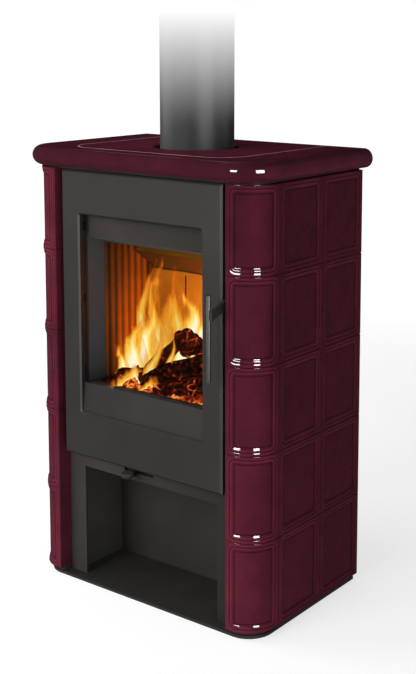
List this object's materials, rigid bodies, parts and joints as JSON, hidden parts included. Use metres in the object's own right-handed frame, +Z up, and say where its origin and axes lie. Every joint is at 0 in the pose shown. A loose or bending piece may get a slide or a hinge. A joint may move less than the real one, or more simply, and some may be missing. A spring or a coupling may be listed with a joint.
{
  "type": "tiled stove",
  "caption": "Free-standing wood stove with glazed ceramic tile sides, rounded corners, a glazed top slab, a glass fire door, an open log niche and a flue pipe.",
  "frame": {"origin": "middle of the top slab's footprint, at floor level", "axes": "+Z up; the door faces -Y; +X is to the right of someone who faces the door"},
  "size_m": [0.6158, 0.396, 1.179],
  "materials": {
    "tile_glaze": "deep burgundy gloss glaze",
    "slab_glaze": "deep burgundy gloss glaze",
    "black_steel": "matt black heat-proof paint",
    "flue_enamel": "satin dark grey heat-proof paint",
    "cast_iron": "plain casting",
    "frame_steel": "matt dark grey heat-proof paint",
    "niche_steel": "matt dark grey heat-proof paint",
    "shell_steel": "matt black heat-proof paint",
    "throat_steel": "heat-greyed steel",
    "fire_lining": "matt fire-clay, sooted",
    "pan_steel": "plain dark sheet",
    "lever_steel": "dark satin",
    "knob_steel": "dark satin knob",
    "door_steel": "matt dark grey heat-proof paint",
    "fire_glass": "clear glass ceramic",
    "seal_rope": "braided glass rope",
    "plain_steel": "bright steel",
    "polished_bar": "polished steel",
    "rear_steel": "matt black sheet"
  },
  "bodies": {
    "stove": {"baffle": "fire_lining", "base_plate": "black_steel", "fire_grate": "cast_iron", "fire_throat": "throat_steel", "firebox_lid": "shell_steel", "firebox_shell": "shell_steel", "flue_collar": "cast_iron", "flue_pipe": "flue_enamel", "front_frame": "frame_steel", "hinge_brackets": "plain_steel", "hinge_pins": "plain_steel", "latch_keeper": "plain_steel", "lining_hearth": "fire_lining", "lining_left": "fire_lining", "lining_rear": "fire_lining", "lining_right": "fire_lining", "niche_liner": "niche_steel", "rear_panel": "rear_steel", "tile_carriers": "shell_steel", "tile_left_1_corner": "tile_glaze", "tile_left_1_side_1": "tile_glaze", "tile_left_1_side_2": "tile_glaze", "tile_left_2_corner": "tile_glaze", "tile_left_2_side_1": "tile_glaze", "tile_left_2_side_2": "tile_glaze", "tile_left_3_corner": "tile_glaze", "tile_left_3_side_1": "tile_glaze", "tile_left_3_side_2": "tile_glaze", "tile_left_4_corner": "tile_glaze", "tile_left_4_side_1": "tile_glaze", "tile_left_4_side_2": "tile_glaze", "tile_left_5_corner": "tile_glaze", "tile_left_5_side_1": "tile_glaze", "tile_left_5_side_2": "tile_glaze", "tile_right_1_corner": "tile_glaze", "tile_right_1_side_1": "tile_glaze", "tile_right_1_side_2": "tile_glaze", "tile_right_2_corner": "tile_glaze", "tile_right_2_side_1": "tile_glaze", "tile_right_2_side_2": "tile_glaze", "tile_right_3_corner": "tile_glaze", "tile_right_3_side_1": "tile_glaze", "tile_right_3_side_2": "tile_glaze", "tile_right_4_corner": "tile_glaze", "tile_right_4_side_1": "tile_glaze", "tile_right_4_side_2": "tile_glaze", "tile_right_5_corner": "tile_glaze", "tile_right_5_side_1": "tile_glaze", "tile_right_5_side_2": "tile_glaze", "top_plate": "black_steel", "top_slab": "slab_glaze"},
    "door": {"door_panel": "door_steel", "door_glass": "fire_glass", "door_seal": "seal_rope", "glass_clips": "plain_steel"},
    "latch_handle": {"latch_lever": "lever_steel", "handle_bar": "polished_bar"},
    "air_control": {"air_slide": "lever_steel", "air_knob": "knob_steel"},
    "ash_drawer": {"ash_pan": "pan_steel"}
  },
  "joints": [
    {"name": "door_hinge", "type": "hinge", "parent": "stove", "child": "door", "pos_m": [-0.199, -0.153, 0.5646], "axis": [0, 0, -1], "range_deg": [0, 100]},
    {"name": "handle_lift", "type": "hinge", "parent": "door", "child": "latch_handle", "pos_m": [0.2045, -0.153, 0.64], "axis": [-1, 0, 0], "range_deg": [-4, 18]},
    {"name": "air_slide", "type": "slide", "parent": "stove", "child": "air_control", "axis": [1, 0, 0], "range_m": [-0.02, 0.03]},
    {"name": "ash_pan_slide", "type": "slide", "parent": "stove", "child": "ash_drawer", "axis": [0, -1, 0], "range_m": [0, 0.132]}
  ],
  "couplings": [
    {"joint": "ash_pan_slide", "follows": "door_hinge", "m_per_rad": 0.075}
  ]
}
